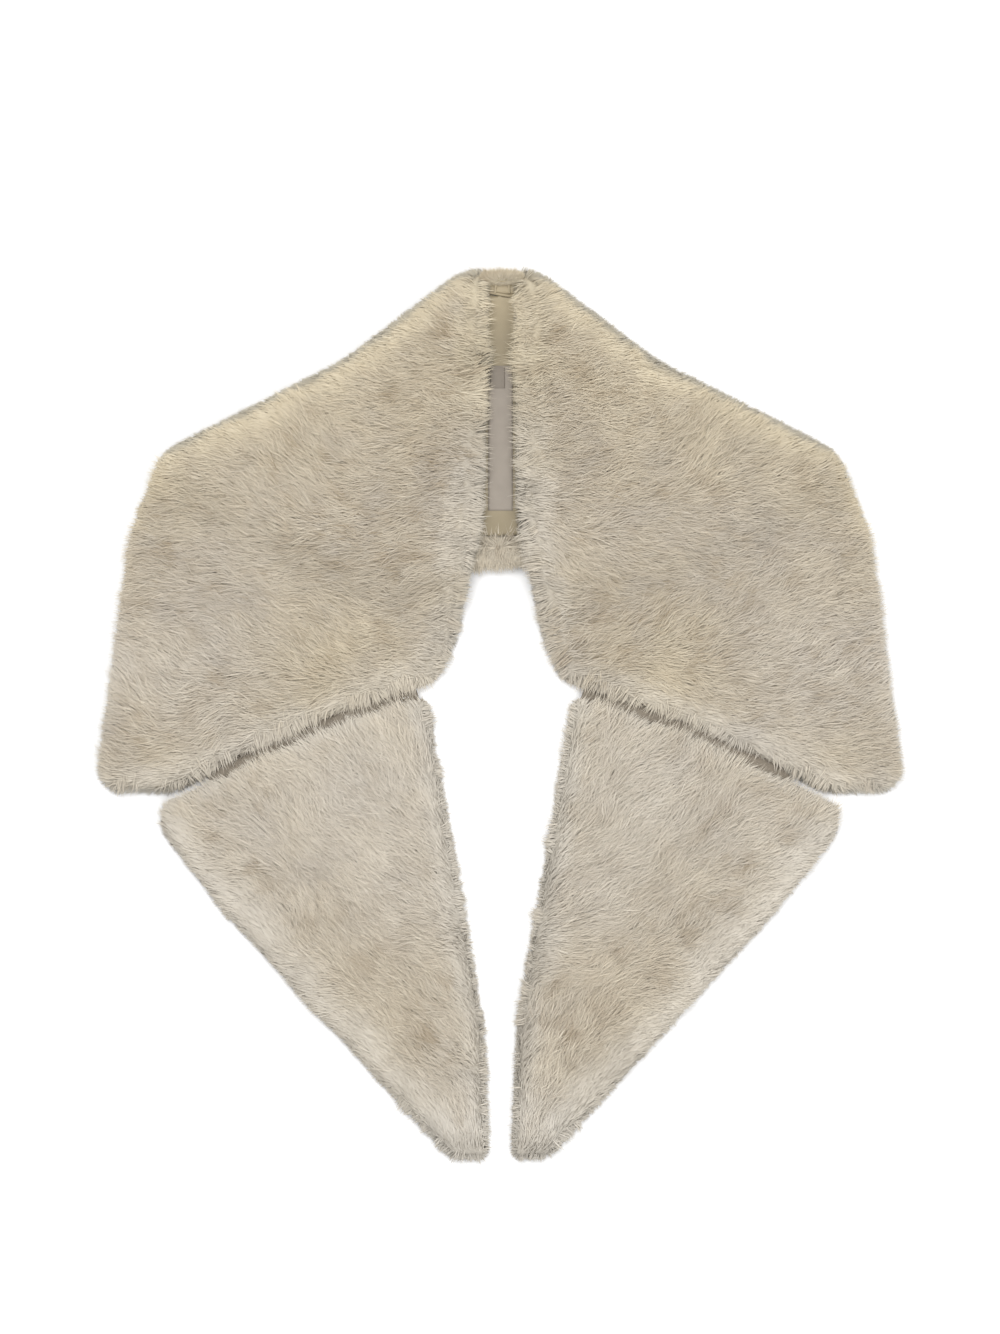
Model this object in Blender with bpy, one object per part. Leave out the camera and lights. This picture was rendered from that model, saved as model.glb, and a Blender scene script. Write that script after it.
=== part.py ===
"""Fur collar wrap, laid flat on a surface: back panel below, front wings folded over it, lapels beyond.

Metres, +Z up, +Y towards the neck. The origin is on the resting surface, at the middle of the outline.
"""

import math

import bmesh
import bpy
import numpy as np
from mathutils import Matrix, Vector, geometry

SEAM_GAP = 0.0003
WING_THICKNESS = 0.016
LAPEL_THICKNESS = 0.0155
BACK_THICKNESS = 0.011
LINING_THICKNESS = 0.001
LABEL_THICKNESS = 0.0005
LOOP_DIAMETER = 0.002

NECK_UP = 0.358
TIP_UP = -0.358
SLIT_EDGE = {-1: 0.0080, 1: 0.0112}
SLIT_CORNER_RADIUS = 0.005
WRAP_RADIUS = 0.020
NECK_ROLL_HEIGHT = 0.009
NECK_ROLL_START = 0.3420
NECK_ROLL_RUN = 0.009

LINING_BOTTOM = BACK_THICKNESS + SEAM_GAP
LINING_TOP = LINING_BOTTOM + LINING_THICKNESS
LAYER_HEIGHT = LINING_TOP + SEAM_GAP

# How a panel's edge turns over: the share of its height at which it is widest, the share of its
# height over which the upper side rounds off, and the width over which the lower side does.
EDGE_SHARE = 0.35
UPPER_ROUND_SHARE = 0.8
LOWER_ROUND = 0.005
RINGS = (0.0015, 0.005, 0.0095, 0.0155)
# A ring's spot is left out where another side of the outline lies nearer than this share of its depth.
RING_CLEARANCE = 0.93
EDGE_SPACING = 0.020
GRID_STEP = 0.021
ARC_STEP = math.radians(18)

# Outlines as corners: distance from the centre line, distance up the centre line, corner radius.
WING_SHOULDER = (
    {"name": "neck_side", "across": 0.0312, "up": NECK_UP, "radius": 0.040},
    {"name": "shoulder_dip", "across": 0.1264, "up": 0.2860, "radius": 0.150},
    {"name": "shoulder_end", "across": 0.2696, "up": 0.2138, "radius": 0.030},
)
WING_ARM = (
    {"name": "arm_bend", "across": 0.2968, "up": 0.1487, "radius": 0.150},
    {"name": "arm_hem", "across": 0.3260, "up": -0.0632, "radius": 0.020},
    {"name": "hem_bend", "across": 0.2624, "up": -0.0636, "radius": 0.025},
)
GORGE = (
    {"name": "gorge_middle", "across": 0.1520, "up": -0.0124, "radius": 0.300},
    {"name": "gorge_front", "across": 0.0492, "up": 0.0236, "radius": 0.006},
)
WING_FRONT = (
    {"name": "front_bend", "across": 0.0336, "up": 0.0604, "radius": 0.060},
    {"name": "neck_bend", "across": 0.0136, "up": 0.1564, "radius": 0.100},
)
LAPEL_OUTER = (
    {"name": "gorge_parting", "across": 0.2168, "up": -0.0444, "radius": 0.100},
    {"name": "point_upper", "across": 0.2728, "up": -0.0720, "radius": 0.014},
    {"name": "point_lower", "across": 0.2728, "up": -0.0955, "radius": 0.020},
    {"name": "tip_outer", "across": 0.0398, "up": TIP_UP, "radius": 0.020},
    {"name": "tip_inner", "across": 0.0074, "up": TIP_UP, "radius": 0.009},
    {"name": "front_bend", "across": 0.0110, "up": -0.2500, "radius": 0.120},
)
LAPEL_FRONT_ACROSS = 0.0540
LAPEL_FRONT_RADIUS = 0.006
BACK_SHOULDER = (
    {"name": "neck_side", "across": 0.0256, "up": 0.3420, "radius": 0.030},
    {"name": "shoulder_dip", "across": 0.1215, "up": 0.2705, "radius": 0.150},
    {"name": "shoulder_end", "across": 0.2520, "up": 0.2045, "radius": 0.012},
)
BACK_HEM = (
    {"name": "hem_side", "across": 0.1500, "up": 0.1500, "radius": 0.300},
    {"name": "hem_middle", "across": 0.0400, "up": 0.1196, "radius": 0.060},
)
LINING_HALF = (
    {"name": "neck_side", "across": 0.0200, "up": 0.3370, "radius": 0.010},
    {"name": "shoulder_dip", "across": 0.1150, "up": 0.2560, "radius": 0.150},
    {"name": "shoulder_end", "across": 0.1900, "up": 0.2080, "radius": 0.012},
    {"name": "hem_side", "across": 0.1300, "up": 0.1740, "radius": 0.200},
    {"name": "hem_middle", "across": 0.0300, "up": 0.1436, "radius": 0.040},
)
LABEL = {"left": -0.0096, "right": 0.0104, "top": 0.2800, "bottom": 0.1640}
TAB = {"left": -0.0078, "right": 0.0040, "top": 0.2790, "bottom": 0.2620}
LOOP = {"centre": 0.0018, "half_width": 0.0058, "foot_up": 0.3380, "height": 0.0130, "points": 17}
LOOP_STEEPEST = 1.6

# The wing lies on the back panel, wraps its shoulder edge down to the surface, and comes down
# to the surface again beyond the back panel's hem.
WRAP_START = 0.009
WRAP_END = 0.0155
STEP_START = 0.004
STEP_RUN = 0.030
SLOPE_RUN = 0.050

CREAM = (0.80, 0.76, 0.66, 1.0)
SATIN = (0.62, 0.55, 0.42, 1.0)
TAPE = (0.60, 0.59, 0.57, 1.0)


def clear_scene():
    for obj in list(bpy.data.objects):
        bpy.data.objects.remove(obj, do_unlink=True)


def finish_of(name, colour, roughness):
    material = bpy.data.materials.new(name)
    material.use_nodes = True
    shader = material.node_tree.nodes["Principled BSDF"]
    shader.inputs["Base Color"].default_value = colour
    shader.inputs["Roughness"].default_value = roughness
    shader.inputs["Metallic"].default_value = 0.0
    return material


def smooth(value):
    """0 below 0 and 1 above 1, with an even curve between."""
    value = np.clip(value, 0.0, 1.0)
    return value * value * (3.0 - 2.0 * value)


def quarter_round(value):
    """The height of a quarter circle at this share of its width."""
    return np.sqrt(1.0 - (1.0 - np.clip(value, 0.0, 1.0)) ** 2)


def corner(across, up, radius):
    return {"across": across, "up": up, "radius": radius}


def on_side(corners, side):
    """Corners of the left half (side -1) or the right half (side 1), as x, y and radius."""
    return [(side * row["across"], row["up"], row["radius"]) for row in corners]


def counter_clockwise(corners):
    area = 0.0
    for (ax, ay, _), (bx, by, _) in zip(corners, corners[1:] + corners[:1]):
        area += ax * by - bx * ay
    return corners if area > 0 else corners[::-1]


def outline(corners):
    """Points round the corners, counter-clockwise, each corner an arc."""
    points = []
    count = len(corners)
    for index, (x, y, radius) in enumerate(corners):
        here = Vector((x, y))
        before = (here - Vector(corners[index - 1][:2])).normalized()
        after = (Vector(corners[(index + 1) % count][:2]) - here).normalized()
        turn = math.atan2(before.x * after.y - before.y * after.x, before.dot(after))
        steps = max(2, round(abs(turn) / ARC_STEP))
        start = here - before * radius * math.tan(abs(turn) / 2)
        inwards = Vector((-before.y, before.x)) * math.copysign(radius, turn)
        for step in range(steps + 1):
            spoke = -inwards
            spoke.rotate(Matrix.Rotation(turn * step / steps, 2))
            points.append(start + inwards + spoke)
    return np.array([point[:] for point in points])


def with_stops(points, spacing):
    """The closed line with its long straight stretches divided into even steps."""
    stops = []
    for start, end in zip(points, np.roll(points, -1, axis=0)):
        steps = max(1, round(np.linalg.norm(end - start) / spacing))
        stops += [start + (end - start) * step / steps for step in range(steps)]
    return np.array(stops)


def distance_to(points, line, closed):
    """Distance of each point to the nearest part of a line of points."""
    line = np.asarray(line, float)
    starts = line if closed else line[:-1]
    ends = np.roll(line, -1, axis=0) if closed else line[1:]
    along = ends - starts
    length = np.maximum((along**2).sum(axis=1), 1e-18)
    nearest = np.full(len(points), np.inf)
    for start, step, square in zip(starts, along, length):
        share = np.clip(((points - start) @ step) / square, 0.0, 1.0)
        apart = points - start - share[:, None] * step
        nearest = np.minimum(nearest, np.sqrt((apart**2).sum(axis=1)))
    return nearest


def inside(points, line):
    """Whether each point lies inside the closed line."""
    crossings = np.zeros(len(points), int)
    for (ax, ay), (bx, by) in zip(line, np.roll(line, -1, axis=0)):
        if ay == by:
            continue
        spans = (points[:, 1] >= min(ay, by)) & (points[:, 1] < max(ay, by))
        crossings += spans & (points[:, 0] < ax + (points[:, 1] - ay) * (bx - ax) / (by - ay))
    return crossings % 2 == 1


def flat_panel(corners, ridge):
    """The panel laid out flat: its outline, rings inside that, a grid and the ridge's own points,
    joined by triangles."""
    rim = outline(corners)
    stops = with_stops(rim, EDGE_SPACING)
    ahead = np.roll(stops, -1, axis=0) - np.roll(stops, 1, axis=0)
    inwards = np.column_stack((-ahead[:, 1], ahead[:, 0])) / np.linalg.norm(ahead, axis=1)[:, None]
    spots = [stops]
    for ring in RINGS:
        moved = stops + inwards * ring
        spots.append(moved[distance_to(moved, rim, closed=True) > RING_CLEARANCE * ring])
    low = stops.min(axis=0)
    high = stops.max(axis=0)
    grid = np.stack(np.meshgrid(*(np.arange(a, b, GRID_STEP) for a, b in zip(low, high))), axis=-1)
    grid = grid.reshape(-1, 2)
    grid = grid[inside(grid, rim)]
    spots.append(grid[distance_to(grid, rim, closed=True) > RINGS[-1] + GRID_STEP / 2])
    spots.append(np.array(ridge).reshape(-1, 2))
    flat = [Vector(spot) for spot in np.concatenate(spots)]
    joined = geometry.delaunay_2d_cdt(flat, [], [list(range(len(stops)))], 1, 1e-6)
    return np.array([vert[:] for vert in joined[0]]), joined[2], len(stops)


def surfaces(corners, lower, upper, spots):
    """The heights of a panel's upper and lower sides, its edge rounded over and under."""
    depth = distance_to(spots, outline(corners), closed=True)
    low = lower(spots[:, 0], spots[:, 1])
    high = upper(spots[:, 0], spots[:, 1])
    widest = low + EDGE_SHARE * (high - low)
    over = widest + (high - widest) * quarter_round(depth / (UPPER_ROUND_SHARE * (high - low)))
    under = widest - (widest - low) * quarter_round(depth / LOWER_ROUND)
    return over, under


def raise_panel(corners, lower, upper, ridge=()):
    """One closed solid between the two height functions."""
    spots, faces, rim_count = flat_panel(corners, ridge)
    over, under = surfaces(corners, lower, upper, spots)
    solid = bmesh.new()
    above = [solid.verts.new((*spot, top)) for spot, top in zip(spots, over)]
    below = above[:rim_count]
    inner = zip(spots[rim_count:], under[rim_count:])
    below += [solid.verts.new((*spot, bottom)) for spot, bottom in inner]
    for face in faces:
        solid.faces.new([above[index] for index in face])
        solid.faces.new([below[index] for index in reversed(face)])
    return solid


def add_object(name, solid, origin, material):
    """A named object for the solid, standing at its own reference point."""
    bmesh.ops.translate(solid, verts=solid.verts[:], vec=-Vector(origin))
    mesh = bpy.data.meshes.new(name)
    solid.to_mesh(mesh)
    solid.free()
    mesh.shade_smooth()
    mesh.set_sharp_from_angle(angle=math.radians(50))
    mesh.materials.append(material)
    obj = bpy.data.objects.new(name, mesh)
    obj.location = origin
    bpy.context.collection.objects.link(obj)
    return obj


def level(height):
    return lambda x, y: np.full(len(x), height)


def below_hem(x, y):
    """How far a spot lies beyond the back panel's hem, and less than 0 on the back panel."""
    rows = [{"across": 0.0, "up": BACK_HEM[1]["up"]}, *reversed(BACK_HEM), BACK_SHOULDER[-1]]
    hem = np.interp(np.abs(x), [row["across"] for row in rows], [row["up"] for row in rows])
    rise = rows[-1]["up"] - rows[0]["up"]
    return (hem - y) * math.cos(math.atan2(rise, rows[-1]["across"]))


def wing_corners(side):
    slit = SLIT_EDGE[side]
    top = corner(slit, NECK_UP, SLIT_CORNER_RADIUS)
    wrap = corner(slit, NECK_UP - WRAP_END - SLIT_CORNER_RADIUS / 3, WRAP_RADIUS)
    rows = (top, *WING_SHOULDER, *WING_ARM, *GORGE, *WING_FRONT, wrap)
    return counter_clockwise(on_side(rows, side))


def shoulder_line(side):
    """The folded edge of a wing, from the slit to the end of the shoulder."""
    rows = (corner(SLIT_EDGE[side], NECK_UP, 0.0), *WING_SHOULDER)
    return [(side * row["across"], row["up"]) for row in rows]


def wing_lower(side):
    def height(x, y):
        from_fold = distance_to(np.column_stack((x, y)), shoulder_line(side), closed=False)
        wrapped = smooth((from_fold - WRAP_START) / (WRAP_END - WRAP_START))
        stepped = 1.0 - smooth((below_hem(x, y) - STEP_START) / STEP_RUN)
        return LAYER_HEIGHT * wrapped * stepped

    return height


def wing_upper(x, y):
    return WING_THICKNESS + LAYER_HEIGHT * (1.0 - smooth(below_hem(x, y) / SLOPE_RUN))


def lapel_corners(side):
    """The lapel's upper edge follows the wing's lower edge a seam's gap below it."""
    middle, front = GORGE
    slope = (front["up"] - middle["up"]) / (middle["across"] - front["across"])
    drop = SEAM_GAP / math.cos(math.atan(slope))
    front_up = middle["up"] + slope * (middle["across"] - LAPEL_FRONT_ACROSS) - drop
    seam = (
        corner(LAPEL_FRONT_ACROSS, front_up, LAPEL_FRONT_RADIUS),
        corner(middle["across"], middle["up"] - drop, middle["radius"]),
    )
    return counter_clockwise(on_side((*seam, *LAPEL_OUTER), side))


def back_corners():
    """Both halves of the back panel, with the stretch of neck edge that shows in the slit."""
    rows = []
    for side in (1, -1):
        roll_edge = SLIT_EDGE[side] - SEAM_GAP
        foot = BACK_SHOULDER[0]["up"]
        half = (
            corner(roll_edge, NECK_UP, 0.003),
            corner(roll_edge, foot, 0.001),
            *BACK_SHOULDER,
            *BACK_HEM,
        )
        placed = on_side(half, side)
        rows += placed if side == 1 else placed[::-1]
    return counter_clockwise(rows)


def back_upper(x, y):
    return BACK_THICKNESS + NECK_ROLL_HEIGHT * smooth((y - NECK_ROLL_START) / NECK_ROLL_RUN)


def lining_corners():
    return counter_clockwise(on_side(LINING_HALF, 1) + on_side(LINING_HALF, -1)[::-1])


def add_tape(name, size, bottom, material):
    """A flat strip of tape with square edges."""
    solid = bmesh.new()
    bmesh.ops.create_cube(solid, size=1.0)
    width = size["right"] - size["left"]
    length = size["top"] - size["bottom"]
    bmesh.ops.scale(solid, vec=(width, length, LABEL_THICKNESS), verts=solid.verts[:])
    middle = Vector((size["left"] + width / 2, size["bottom"] + length / 2, bottom + LABEL_THICKNESS / 2))
    bmesh.ops.translate(solid, vec=middle, verts=solid.verts[:])
    return add_object(name, solid, (middle.x, size["top"], bottom), material)


def neck_roll_ridge():
    """Spots in the short stretch of neck edge between the wings, where the back panel rolls up."""
    left = -SLIT_EDGE[-1]
    width = SLIT_EDGE[1] + SLIT_EDGE[-1]
    ups = np.linspace(NECK_ROLL_START, NECK_UP - RINGS[1], 5)
    return [(left + width * share, up) for up in ups for share in (0.25, 0.5, 0.75)]


def add_loop(material):
    """A rouleau bent to an arch that leans on the neck roll, with both ends at the neck seam."""
    radius = LOOP_DIAMETER / 2
    turns = np.pi * np.linspace(0.0, 1.0, LOOP["points"])
    x = LOOP["centre"] - LOOP["half_width"] * np.cos(turns)
    y = LOOP["foot_up"] + LOOP["height"] * np.sin(turns)
    over = surfaces(back_corners(), level(0.0), back_upper, np.column_stack((x, y)))[0]
    seat = np.maximum(over, LINING_TOP)
    slope = np.gradient(seat) / np.maximum(np.abs(np.gradient(y)), SEAM_GAP)
    lift = (SEAM_GAP + radius) * np.hypot(1.0, np.clip(slope, -LOOP_STEEPEST, LOOP_STEEPEST))
    curve = bpy.data.curves.new("hang_loop", "CURVE")
    curve.dimensions = "3D"
    curve.bevel_depth = radius
    curve.bevel_resolution = 2
    curve.use_fill_caps = True
    spline = curve.splines.new("POLY")
    spline.points.add(LOOP["points"] - 1)
    for point, spot in zip(spline.points, zip(x - LOOP["centre"], y - LOOP["foot_up"], seat + lift)):
        point.co = (*spot, 1.0)
    curve.materials.append(material)
    obj = bpy.data.objects.new("hang_loop", curve)
    obj.location = (LOOP["centre"], LOOP["foot_up"], 0.0)
    bpy.context.collection.objects.link(obj)


def main():
    clear_scene()
    fur = {name: finish_of(f"fur_{name}", CREAM, 0.9) for name in ("back", "wing", "lapel")}
    satin = finish_of("satin", SATIN, 0.35)
    tape = finish_of("label_tape", TAPE, 0.6)

    surface = level(0.0)
    back = raise_panel(back_corners(), surface, back_upper, neck_roll_ridge())
    add_object("back_panel", back, (0.0, BACK_HEM[1]["up"], 0.0), fur["back"])
    lining = raise_panel(lining_corners(), level(LINING_BOTTOM), level(LINING_TOP))
    add_object("back_lining", lining, (0.0, LINING_HALF[0]["up"], LINING_BOTTOM), satin)
    for side, word in ((-1, "left"), (1, "right")):
        wing = raise_panel(wing_corners(side), wing_lower(side), wing_upper)
        add_object(f"wing_{word}", wing, (side * SLIT_EDGE[side], NECK_UP, 0.0), fur["wing"])
        lapel = raise_panel(lapel_corners(side), surface, level(LAPEL_THICKNESS))
        add_object(f"lapel_{word}", lapel, (side * LAPEL_FRONT_ACROSS, GORGE[1]["up"], 0.0), fur["lapel"])
    label_bottom = LINING_TOP + SEAM_GAP
    add_tape("care_label", LABEL, label_bottom, tape)
    add_tape("size_tab", TAB, label_bottom + LABEL_THICKNESS + SEAM_GAP, tape)
    add_loop(satin)


main()
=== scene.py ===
import math

import bpy
import numpy as np
from mathutils import Matrix, Vector, geometry


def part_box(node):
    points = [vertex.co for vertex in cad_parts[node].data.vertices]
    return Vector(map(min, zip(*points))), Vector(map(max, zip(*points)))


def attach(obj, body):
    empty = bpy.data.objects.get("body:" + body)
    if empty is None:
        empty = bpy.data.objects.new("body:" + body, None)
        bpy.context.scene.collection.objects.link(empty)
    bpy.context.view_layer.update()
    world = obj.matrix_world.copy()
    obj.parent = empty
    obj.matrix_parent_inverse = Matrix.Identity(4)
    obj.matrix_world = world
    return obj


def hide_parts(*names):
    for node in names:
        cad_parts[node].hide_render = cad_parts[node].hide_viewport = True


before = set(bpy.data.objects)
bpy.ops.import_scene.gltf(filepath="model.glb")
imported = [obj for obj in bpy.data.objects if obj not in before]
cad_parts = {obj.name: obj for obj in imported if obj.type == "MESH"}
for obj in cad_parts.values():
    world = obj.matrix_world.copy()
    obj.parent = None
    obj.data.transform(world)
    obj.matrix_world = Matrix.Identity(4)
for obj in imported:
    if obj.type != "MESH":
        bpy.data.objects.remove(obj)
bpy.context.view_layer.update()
print("frame loaded", len(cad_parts), "nodes")

# Heights of the folded collar, in metres from the surface that it lies on.
lay = {
    "gap": 0.0003,
    "wing": 0.0160,
    "lapel": 0.0155,
    "back": 0.0110,
    "lining": 0.0010,
    "neckUp": 0.3580,
    "slitLeft": 0.0080,
    "slitRight": 0.0112,
    "rollHeight": 0.0090,
    "rollStart": 0.3420,
    "rollRun": 0.0090,
    "wrapStart": 0.0090,
    "wrapEnd": 0.0155,
    "stepStart": 0.0040,
    "stepRun": 0.0300,
    "slopeRun": 0.0500,
    "gorgeOpen": 0.0020,
    "lapelFront": 0.0575,
    "pileTop": 0.0340,
    "pileFoot": 0.0004,
}
liningBottom = lay["back"] + lay["gap"]
liningTop = liningBottom + lay["lining"]
layerHeight = liningTop + lay["gap"]

# Corners of each half outline: across from the middle, up from the middle, corner radius.
wingShoulder = [(0.0312, 0.3580, 0.040), (0.1264, 0.2860, 0.150), (0.2696, 0.2138, 0.030)]
wingArm = [(0.2968, 0.1487, 0.150), (0.3260, -0.0632, 0.020), (0.2624, -0.0636, 0.025)]
gorge = [(0.1520, -0.0124, 0.300), (0.0492, 0.0236, 0.006)]
wingFront = [(0.0336, 0.0604, 0.060), (0.0136, 0.1564, 0.100)]
lapelOuter = [
    (0.2168, -0.0444, 0.100),
    (0.2728, -0.0720, 0.014),
    (0.2728, -0.0955, 0.020),
    (0.2178, -0.1650, 0.200),
    (0.0398, -0.3580, 0.020),
    (0.0074, -0.3580, 0.009),
    (0.0110, -0.2500, 0.120),
]
backShoulder = [(0.0256, 0.3420, 0.030), (0.1215, 0.2705, 0.150), (0.2520, 0.2045, 0.012)]
backHem = [(0.1500, 0.1500, 0.300), (0.0400, 0.1196, 0.060)]
liningHalf = [
    (0.0200, 0.3370, 0.010),
    (0.1150, 0.2560, 0.150),
    (0.1900, 0.2080, 0.012),
    (0.1300, 0.1740, 0.200),
    (0.0300, 0.1436, 0.040),
]


def smooth(value):
    value = np.clip(value, 0.0, 1.0)
    return value * value * (3.0 - 2.0 * value)


def quarterRound(value):
    return np.sqrt(1.0 - (1.0 - np.clip(value, 0.0, 1.0)) ** 2)


def unit(vectors):
    return vectors / np.maximum(np.linalg.norm(vectors, axis=-1, keepdims=True), 1e-9)


def softNoise(x, y, size, seed):  # smooth heights from -1 to 1, about a bump to each size
    lattice = np.random.default_rng(seed).uniform(-1.0, 1.0, (96, 96))
    column, row = x / size + 960.0, y / size + 960.0
    left, below = np.floor(column).astype(int), np.floor(row).astype(int)
    alongX, alongY = smooth(column - left), smooth(row - below)

    def corner(right, above):
        return lattice[(left + right) % 96, (below + above) % 96]

    lower = corner(0, 0) * (1 - alongX) + corner(1, 0) * alongX
    upper = corner(0, 1) * (1 - alongX) + corner(1, 1) * alongX
    return lower * (1 - alongY) + upper * alongY


def onSide(rows, side):
    return [(side * across, up, radius) for across, up, radius in rows]


def counterClockwise(corners):
    area = 0.0
    for (ax, ay, _), (bx, by, _) in zip(corners, corners[1:] + corners[:1]):
        area += ax * by - bx * ay
    return corners if area > 0 else corners[::-1]


def outlineOf(corners):
    points = []
    for index, (x, y, radius) in enumerate(corners):
        here = Vector((x, y))
        before = (here - Vector(corners[index - 1][:2])).normalized()
        after = (Vector(corners[(index + 1) % len(corners)][:2]) - here).normalized()
        turn = math.atan2(before.x * after.y - before.y * after.x, before.dot(after))
        steps = max(2, round(abs(turn) / math.radians(12)))
        start = here - before * radius * math.tan(abs(turn) / 2)
        inwards = Vector((-before.y, before.x)) * math.copysign(radius, turn)
        for step in range(steps + 1):
            spoke = -inwards
            spoke.rotate(Matrix.Rotation(turn * step / steps, 2))
            points.append(start + inwards + spoke)
    return np.array([point[:] for point in points])


def withStops(points, spacing):
    stops = []
    for start, end in zip(points, np.roll(points, -1, axis=0)):
        steps = max(1, round(np.linalg.norm(end - start) / spacing))
        stops += [start + (end - start) * step / steps for step in range(steps)]
    return np.array(stops)


def nearestOn(spots, line, closed=True):  # distance to a line of points, and the way to it
    line = np.asarray(line, float)
    starts = line if closed else line[:-1]
    ends = np.roll(line, -1, axis=0) if closed else line[1:]
    best = np.full(len(spots), np.inf)
    way = np.zeros((len(spots), 2))
    for start, run in zip(starts, ends - starts):
        share = np.clip(((spots - start) @ run) / max(run @ run, 1e-18), 0.0, 1.0)
        apart = start + share[:, None] * run - spots
        away = (apart**2).sum(axis=1)
        nearer = away < best
        best[nearer] = away[nearer]
        way[nearer] = apart[nearer]
    return np.sqrt(best), unit(way)


def insideOf(spots, line):
    crossings = np.zeros(len(spots), int)
    for (ax, ay), (bx, by) in zip(line, np.roll(line, -1, axis=0)):
        if ay != by:
            spans = (spots[:, 1] >= min(ay, by)) & (spots[:, 1] < max(ay, by))
            crossings += spans & (spots[:, 0] < ax + (spots[:, 1] - ay) * (bx - ax) / (by - ay))
    return crossings % 2 == 1


def areaOf(line):
    after = np.roll(line, -1, axis=0)
    return abs((line[:, 0] * after[:, 1] - after[:, 0] * line[:, 1]).sum()) / 2


def slitOf(side):
    return lay["slitLeft"] if side < 0 else lay["slitRight"]


def wingCorners(side):
    slit = slitOf(side)
    top = (slit, lay["neckUp"], 0.005)
    wrap = (slit, lay["neckUp"] - lay["wrapEnd"] - 0.0017, 0.020)
    seam = [(across, up + lay["gorgeOpen"], radius) for across, up, radius in gorge]
    return counterClockwise(onSide([top, *wingShoulder, *wingArm, *seam, *wingFront, wrap], side))


def lapelCorners(side):
    middle, front = gorge
    slope = (front[1] - middle[1]) / (middle[0] - front[0])
    drop = lay["gorgeOpen"] / math.cos(math.atan(slope))
    frontUp = middle[1] + slope * (middle[0] - lay["lapelFront"]) - drop
    seam = [(lay["lapelFront"], frontUp, 0.006), (middle[0], middle[1] - drop, middle[2])]
    return counterClockwise(onSide([*seam, *lapelOuter], side))


def backCorners():
    rows = []
    for side in (1, -1):
        edge = slitOf(side) - lay["gap"]
        roll = [(edge, lay["neckUp"], 0.003), (edge, backShoulder[0][1], 0.001)]
        half = onSide([*roll, *backShoulder, *backHem], side)
        rows += half if side == 1 else half[::-1]
    return counterClockwise(rows)


def liningCorners():
    return counterClockwise(onSide(liningHalf, 1) + onSide(liningHalf, -1)[::-1])


def belowHem(x, y):  # how far a spot lies beyond the back panel's hem
    rows = [(0.0, backHem[1][1]), *[row[:2] for row in reversed(backHem)], backShoulder[-1][:2]]
    hem = np.interp(np.abs(x), [row[0] for row in rows], [row[1] for row in rows])
    return (hem - y) * math.cos(math.atan2(rows[-1][1] - rows[0][1], rows[-1][0]))


def wingLower(side):
    fold = [(side * slitOf(side), lay["neckUp"])]
    fold += [(side * across, up) for across, up, _ in wingShoulder]

    def height(x, y):
        fromFold, _ = nearestOn(np.column_stack((x, y)), fold, closed=False)
        wrapped = smooth((fromFold - lay["wrapStart"]) / (lay["wrapEnd"] - lay["wrapStart"]))
        return layerHeight * wrapped * (1 - smooth((belowHem(x, y) - lay["stepStart"]) / lay["stepRun"]))

    return height


def wingUpper(x, y):
    return lay["wing"] + layerHeight * (1 - smooth(belowHem(x, y) / lay["slopeRun"]))


def backUpper(x, y):
    return lay["back"] + lay["rollHeight"] * smooth((y - lay["rollStart"]) / lay["rollRun"])


def level(height):
    return lambda x, y: np.full(len(x), height)


def addMesh(name, points, faces, materials, slots=None):
    mesh = bpy.data.meshes.new(name)
    mesh.vertices.add(len(points))
    mesh.vertices.foreach_set("co", np.asarray(points, np.float32).ravel())
    mesh.loops.add(faces.size)
    mesh.loops.foreach_set("vertex_index", np.asarray(faces, np.int32).ravel())
    mesh.polygons.add(len(faces))
    mesh.polygons.foreach_set("loop_start", np.arange(0, faces.size, 3, dtype=np.int32))
    mesh.polygons.foreach_set("use_smooth", np.ones(len(faces), bool))
    for material in materials:
        mesh.materials.append(material)
    if slots is not None:
        mesh.polygons.foreach_set("material_index", np.asarray(slots, np.int32))
    mesh.update(calc_edges=True)
    obj = bpy.data.objects.new(name, mesh)
    bpy.context.collection.objects.link(obj)
    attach(obj, "root")
    return obj


def pointNormals(points, faces):
    a, b, c = (points[faces[:, index]] for index in range(3))
    across = np.cross(b - a, c - a)
    normals = np.zeros_like(points)
    for index in range(3):
        np.add.at(normals, faces[:, index], across)
    return unit(normals)


def keepNumbers(obj, name, values, kind="FLOAT"):
    layer = obj.data.attributes.new(name, kind, "POINT")
    layer.data.foreach_set("value" if kind == "FLOAT" else "vector", np.asarray(values, np.float32).ravel())


def nearGorge(x, y):  # 1 at the seam between wing and lapel, none beyond 14 mm
    line = [row[:2] for row in (lapelOuter[0], *gorge)]
    return 1 - smooth((nearestOn(np.column_stack((np.abs(x), y)), line, closed=False)[0] - 0.007) / 0.007)


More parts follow.
